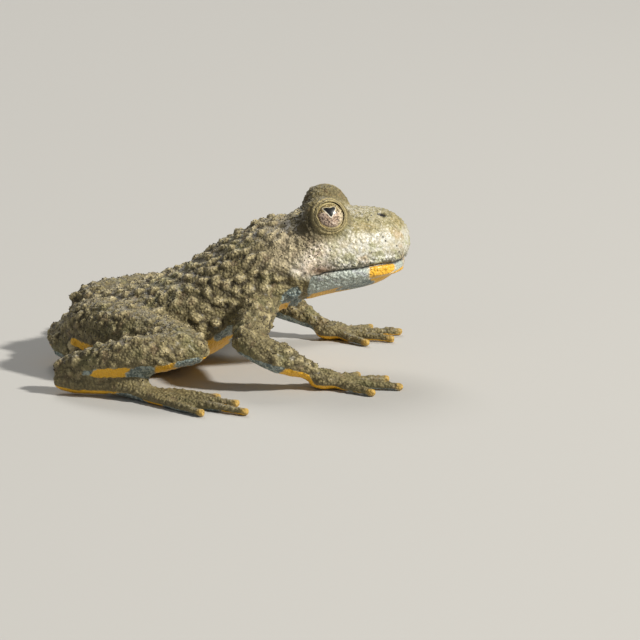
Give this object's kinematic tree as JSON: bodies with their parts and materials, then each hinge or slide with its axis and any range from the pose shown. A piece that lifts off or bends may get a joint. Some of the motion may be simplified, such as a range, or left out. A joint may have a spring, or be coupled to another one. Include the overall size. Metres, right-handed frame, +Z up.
{
  "type": "fire bellied toad",
  "caption": "Life-size still model of a small warty toad at rest, head raised, limbs folded at its sides, with a short blunt snout and eyes that stand high on the head.",
  "frame": {"origin": "on the floor, under the middle of the toad's box", "axes": "+X the way the toad faces, +Y to its left, +Z up"},
  "size_m": [0.0392, 0.0512, 0.019],
  "materials": {
    "warty_skin": "moist olive tan skin, warty",
    "smooth_skin": "moist slate grey skin with yellow patches",
    "eye": "wet bronze iris"
  },
  "bodies": {
    "root": {"head": "warty_skin", "torso": "warty_skin", "upper_arm_right": "warty_skin", "upper_arm_left": "warty_skin", "forearm_right": "warty_skin", "forearm_left": "warty_skin", "thigh_right": "warty_skin", "thigh_left": "warty_skin", "shank_right": "warty_skin", "shank_left": "warty_skin", "lower_jaw": "smooth_skin", "hand_right": "smooth_skin", "hand_left": "smooth_skin", "foot_right": "smooth_skin", "foot_left": "smooth_skin", "eye_right": "eye", "eye_left": "eye"}
  },
  "joints": []
}
